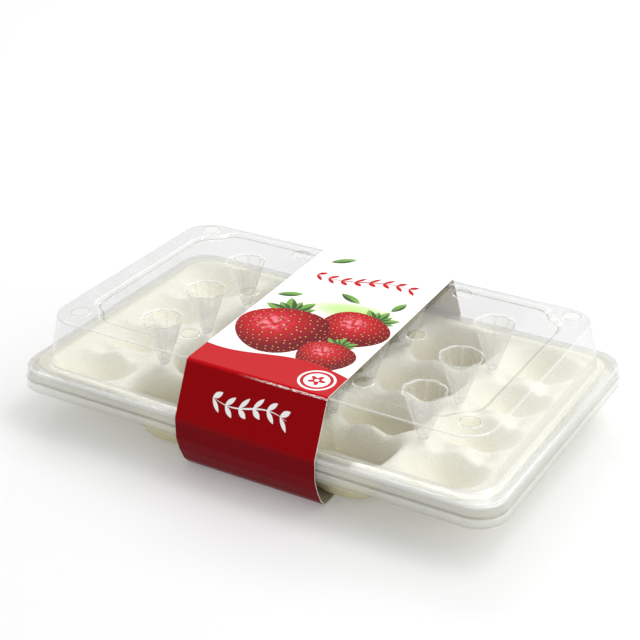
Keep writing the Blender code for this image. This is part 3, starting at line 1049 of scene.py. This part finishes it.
def cardMaterial():
    material, tree, output = startMaterial("printedCard")
    place = addNode(tree, "ShaderNodeUVMap", uv_map="printPlace").outputs[0]
    across, along = addNode(tree, "ShaderNodeSeparateXYZ", {0: place}).outputs[:2]
    colour = inks["white"]
    x, y = motif(tree, place, *printPlan["wash"])
    haze = remap(tree, calc(tree, "MULTIPLY_ADD", x, x, calc(tree, "MULTIPLY", y, y)), 1.0, 0.0)
    colour = mixColour(tree, calc(tree, "MULTIPLY", haze, printPlan["washStrength"]), colour, inks["wash"])
    for leaf in printPlan["looseLeaves"]:
        colour = addLeaf(tree, place, colour, *leaf)
    for berry in printPlan["berries"]:
        colour = addCrown(tree, place, colour, *berry)
        colour = addBerry(tree, place, colour, *berry)
    # the red fields, the front one with a wavy edge
    angle = calc(tree, "MULTIPLY_ADD", across, printPlan["fieldPitch"], printPlan["fieldPhase"])
    wave = calc(tree, "SINE", angle)
    height = calc(tree, "MULTIPLY_ADD", wave, printPlan["fieldWave"], printPlan["fieldHeight"])
    front = inkMask(tree, calc(tree, "SUBTRACT", height, along), 1.0)
    back = inkMask(tree, calc(tree, "SUBTRACT", along, printPlan["backFold"]), 1.0)
    fromMiddle = calc(tree, "ABSOLUTE", calc(tree, "SUBTRACT", along, printPlan["backFold"] / 2))
    # the red is darkened with painted shade past the top folds and again lower down
    red = inks["redTop"]
    for fold, darker in zip(printPlan["redShadeFolds"], (inks["red"], inks["redShadeLow"])):
        red = mixColour(tree, remap(tree, fromMiddle, *fold), red, darker)
    colour = mixColour(tree, calc(tree, "MAXIMUM", front, back), colour, red)
    for sprig in printPlan["sprigs"]:
        colour = addSprig(tree, place, colour, *sprig)
    colour = addBadge(tree, place, colour)
    colour = addWear(tree, place, colour, across, along)
    fibres = noiseAt(tree, place, cardLook["fibreScale"], 3.0)
    shader = addNode(tree, "ShaderNodeBsdfPrincipled",
                     {"Base Color": colour, "Roughness": cardLook["roughness"],
                      "Specular IOR Level": cardLook["gloss"],
                      "Normal": bumpFrom(tree, fibres, *cardLook["fibreBump"])})
    tree.links.new(shader.outputs[0], output.inputs["Surface"])
    return material


def paperMaterial(name, colour):
    material, tree, output = startMaterial(name)
    place = addNode(tree, "ShaderNodeTexCoord").outputs["Object"]
    fibres = noiseAt(tree, place, cardLook["paperScale"], 4.0)
    shade = [channel * cardLook["paperShade"] for channel in colour[:3]] + [1.0]
    shader = addNode(tree, "ShaderNodeBsdfPrincipled",
                     {"Base Color": mixColour(tree, fibres, shade, colour),
                      "Roughness": cardLook["paperRoughness"],
                      "Normal": bumpFrom(tree, fibres, *cardLook["paperBump"])})
    tree.links.new(shader.outputs[0], output.inputs["Surface"])
    return material


def alongSection(y, z, section):
    # distance round the band from the underside's front edge, up the front and back over the top
    best, place, walked = math.inf, 0.0, 0.0
    for (y0, z0), (y1, z1) in zip(section, section[1:] + section[:1]):
        length = math.hypot(y1 - y0, z1 - z0)
        share = clamp(((y - y0) * (y1 - y0) + (z - z0) * (z1 - z0)) / length ** 2, 0, 1)
        away = math.hypot(y - y0 - share * (y1 - y0), z - z0 - share * (z1 - z0))
        if away < best:
            best, place = away, walked + share * length
        walked += length
    return place


def acrossEdges(bm):
    # the edges that run from one side of the band to the other
    return [edge for edge in bm.edges if abs(edge.verts[0].co.x - edge.verts[1].co.x) > 0.5]


def makeSleeve():
    print("sleeve")
    half = sleeve["halfSection"]
    # from the front underside up, over the top and down the back, one unit wide at first
    section = [(-y, z) for y, z in half] + list(reversed(half))
    bm = bmesh.new()
    ring = placeRing(bm, [(-0.5, y, z) for y, z in section])
    sides = bmesh.ops.extrude_edge_only(bm, edges=ringEdges(ring))["geom"]
    moved = [item for item in sides if isinstance(item, bmesh.types.BMVert)]
    bmesh.ops.translate(bm, vec=(1, 0, 0), verts=moved)
    bmesh.ops.bevel(bm, geom=acrossEdges(bm), offset=sleeve["fold"], offset_type="OFFSET",
                    segments=sleeve["foldSegments"], profile=0.5, affect="EDGES", material=-1,
                    clamp_overlap=True)
    bmesh.ops.subdivide_edges(bm, edges=acrossEdges(bm), cuts=sleeve["cuts"], use_grid_fill=True)
    bmesh.ops.recalc_face_normals(bm, faces=bm.faces)
    top = max(bm.faces, key=lambda face: face.calc_center_median().z)
    if top.normal.z < 0:
        bmesh.ops.reverse_faces(bm, faces=bm.faces)

    foldY, foldZ = half[-2]
    frontFold = alongSection(-foldY, foldZ, section)
    layer = bm.loops.layers.uv.new("printPlace")
    for face in bm.faces:
        middle = face.calc_center_median()
        for loop in face.loops:
            x, y, z = loop.vert.co
            y += (middle.y - y) * sleeve["seamPull"]
            z += (middle.z - z) * sleeve["seamPull"]
            back = alongSection(y, z, section) - frontFold
            loop[layer].uv = (x * sleeve["width"] / printUnit, back / printUnit)
    for vert in bm.verts:
        vert.co.x = sleeve["centreX"] + vert.co.x * sleeve["width"] + sleeve["skew"] * vert.co.y
    materials = [cardMaterial(), paperMaterial("cardBack", cardLook["back"]),
                 paperMaterial("cardEdge", cardLook["edge"])]
    piece = finishPiece("cardSleeve", bm, materials, "sleeve", sleeve["sharpAngle"])
    giveThickness(piece, sleeve["card"], rimMaterial=2, innerMaterial=1)
    return piece


makeTray()
makeBase()
makeLid()
makeSleeve()
